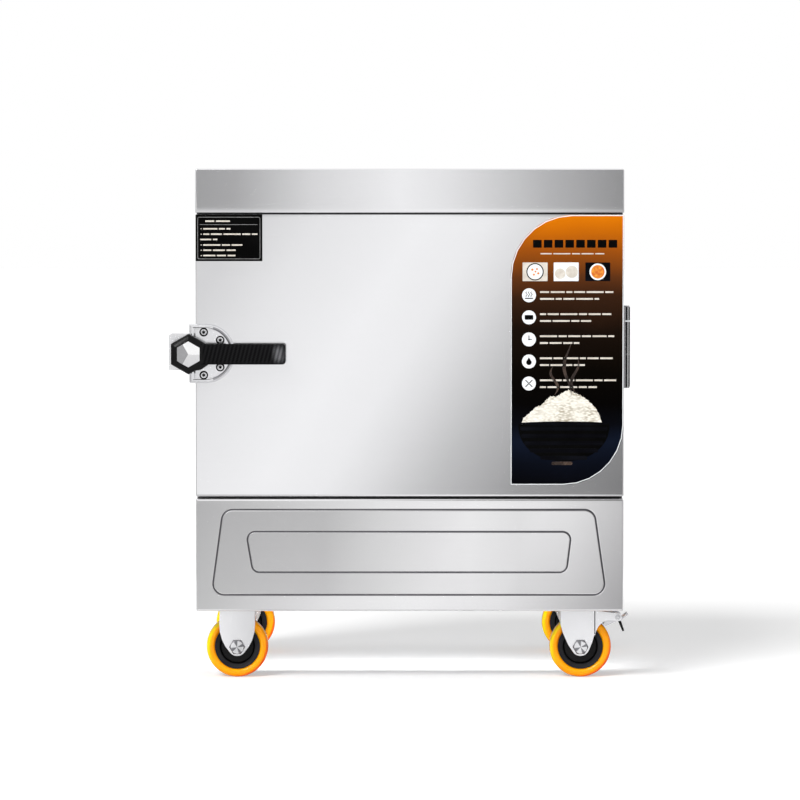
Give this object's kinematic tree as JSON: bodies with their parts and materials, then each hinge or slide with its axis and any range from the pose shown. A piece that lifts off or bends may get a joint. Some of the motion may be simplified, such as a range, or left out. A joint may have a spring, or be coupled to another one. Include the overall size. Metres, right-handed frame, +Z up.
{
  "type": "commercial rice steamer",
  "caption": "Steam cooking cabinet on castors: insulated door with lever latch, chamber with trays on racks, water tank with heating tubes, float box and drain valve.",
  "frame": {"origin": "on the floor under the middle of the cabinet", "axes": "+X to the right seen from the front, the door faces -Y, +Z up"},
  "size_m": [0.7573, 0.6512, 0.838],
  "materials": {
    "stainless": "polished sheet with a fine horizontal grain",
    "stainless_pressed": "polished sheet with pressed lines",
    "stainless_liner": "satin sheet",
    "tray_steel": "pressed, lightly scratched",
    "frame_steel": "grey paint",
    "zinc": "bright zinc plating",
    "hinge_steel": "polished",
    "bolt_steel": "machined",
    "brake_steel": "zinc plated, dark shoe",
    "latch_chrome": "satin cast metal",
    "latch_insert": "faceted, satin",
    "heating_tube": "drawn tube",
    "brass": "machined",
    "insulation": "pale foam",
    "gasket": "grey silicone",
    "black_plastic": "moulded",
    "grey_plastic": "moulded",
    "lever_black": "black with a woven look",
    "lever_red": "dipped plastic coat",
    "float_plastic": "moulded",
    "wheel_core": "black nylon",
    "tread": "glossy orange polyurethane"
  },
  "bodies": {
    "root": {"side_panel_left": "stainless", "side_panel_right": "stainless", "back_panel": "stainless", "top_cover": "stainless", "front_frame": "stainless", "front_lower_panel": "stainless_pressed", "chamber_liner": "stainless_liner", "tray_racks": "stainless_liner", "cabinet_insulation": "insulation", "base_frame": "frame_steel", "water_tank": "stainless_liner", "heating_elements": "heating_tube", "steam_baffle": "stainless_liner", "float_box": "stainless_liner", "float_box_lid": "stainless_liner", "float_valve": "brass", "drain_valve_body": "brass", "vent_pipe": "stainless", "control_box": "stainless", "control_box_cover": "stainless", "contactor": "grey_plastic", "cable_gland": "black_plastic", "keeper_bracket": "zinc", "hinge_leaf_cabinet": "hinge_steel", "hinge_pin": "hinge_steel", "rigid_castor_forks": "zinc", "rigid_castor_axles": "bolt_steel", "swivel_castor_plates": "zinc", "castor_bolts": "bolt_steel"},
    "door": {"door_outer_skin": "stainless", "door_inner_skin": "stainless_liner", "door_insulation": "insulation", "door_gasket": "gasket", "latch_base": "latch_chrome", "latch_screws": "bolt_steel", "hinge_leaf_door": "hinge_steel"},
    "latch": {"latch_lever": "lever_black", "latch_gem": "latch_insert", "latch_spindle": "bolt_steel"},
    "roller": {"keeper_roller": "grey_plastic"},
    "swivel_front": {"swivel_fork_front": "zinc", "swivel_axle_front": "bolt_steel"},
    "swivel_back": {"swivel_fork_back": "zinc", "swivel_axle_back": "bolt_steel"},
    "brake": {"brake_pedal_front": "brake_steel"},
    "drain_lever": {"drain_valve_lever": "lever_red"},
    "float": {"float_arm": "float_plastic"},
    "knob": {"switch_knob": "black_plastic"},
    "wheel_front_left": {"wheel_core_front_left": "wheel_core", "wheel_tread_front_left": "tread"},
    "wheel_back_left": {"wheel_core_back_left": "wheel_core", "wheel_tread_back_left": "tread"},
    "wheel_front_right": {"wheel_core_front_right": "wheel_core", "wheel_tread_front_right": "tread"},
    "wheel_back_right": {"wheel_core_back_right": "wheel_core", "wheel_tread_back_right": "tread"},
    "tray_1": {"tray_1": "tray_steel"},
    "tray_2": {"tray_2": "tray_steel"},
    "tray_3": {"tray_3": "tray_steel"},
    "tray_4": {"tray_4": "tray_steel"}
  },
  "joints": [
    {"name": "door_hinge", "type": "hinge", "parent": "root", "child": "door", "pos_m": [0.3563, -0.213, 0.5455], "axis": [0, 0, 1], "range_deg": [0, 180]},
    {"name": "latch_turn", "type": "hinge", "parent": "door", "child": "latch", "pos_m": [-0.3603, -0.27, 0.5364], "axis": [0, -1, 0], "range_deg": [0, 90]},
    {"name": "roller_spin", "type": "hinge", "parent": "root", "child": "roller", "pos_m": [-0.3865, -0.222, 0.5364], "axis": [0, 0, 1], "continuous": true},
    {"name": "wheel_front_left_spin", "type": "hinge", "parent": "root", "child": "wheel_front_left", "pos_m": [-0.2844, -0.2, 0.0508], "axis": [0, 1, 0], "continuous": true},
    {"name": "wheel_back_left_spin", "type": "hinge", "parent": "root", "child": "wheel_back_left", "pos_m": [-0.2844, 0.2, 0.0508], "axis": [0, 1, 0], "continuous": true},
    {"name": "castor_front_swivel", "type": "hinge", "parent": "root", "child": "swivel_front", "pos_m": [0.2575, -0.2, 0.12], "axis": [0, 0, 1], "continuous": true},
    {"name": "castor_back_swivel", "type": "hinge", "parent": "root", "child": "swivel_back", "pos_m": [0.2575, 0.2, 0.12], "axis": [0, 0, 1], "continuous": true},
    {"name": "wheel_front_right_spin", "type": "hinge", "parent": "swivel_front", "child": "wheel_front_right", "pos_m": [0.2815, -0.2, 0.0508], "axis": [0, 1, 0], "continuous": true},
    {"name": "wheel_back_right_spin", "type": "hinge", "parent": "swivel_back", "child": "wheel_back_right", "pos_m": [0.2815, 0.2, 0.0508], "axis": [0, 1, 0], "continuous": true},
    {"name": "brake_press", "type": "hinge", "parent": "swivel_front", "child": "brake", "pos_m": [0.343, -0.2, 0.0998], "axis": [0, -1, 0], "range_deg": [0, 14]},
    {"name": "drain_lever_turn", "type": "hinge", "parent": "root", "child": "drain_lever", "pos_m": [-0.2, 0.29, 0.2], "axis": [0, 0, 1], "range_deg": [0, 90]},
    {"name": "float_lift", "type": "hinge", "parent": "root", "child": "float", "pos_m": [0.31515, 0.178, 0.292], "axis": [1, 0, 0], "range_deg": [-20, 0]},
    {"name": "switch_turn", "type": "hinge", "parent": "root", "child": "knob", "pos_m": [0.205, 0.3312, 0.565], "axis": [0, 1, 0], "range_deg": [0, 90]},
    {"name": "tray_1_slide", "type": "slide", "parent": "root", "child": "tray_1", "axis": [0, -1, 0], "range_m": [0, 0.012]},
    {"name": "tray_2_slide", "type": "slide", "parent": "root", "child": "tray_2", "axis": [0, -1, 0], "range_m": [0, 0.012]},
    {"name": "tray_3_slide", "type": "slide", "parent": "root", "child": "tray_3", "axis": [0, -1, 0], "range_m": [0, 0.012]},
    {"name": "tray_4_slide", "type": "slide", "parent": "root", "child": "tray_4", "axis": [0, -1, 0], "range_m": [0, 0.012]}
  ]
}
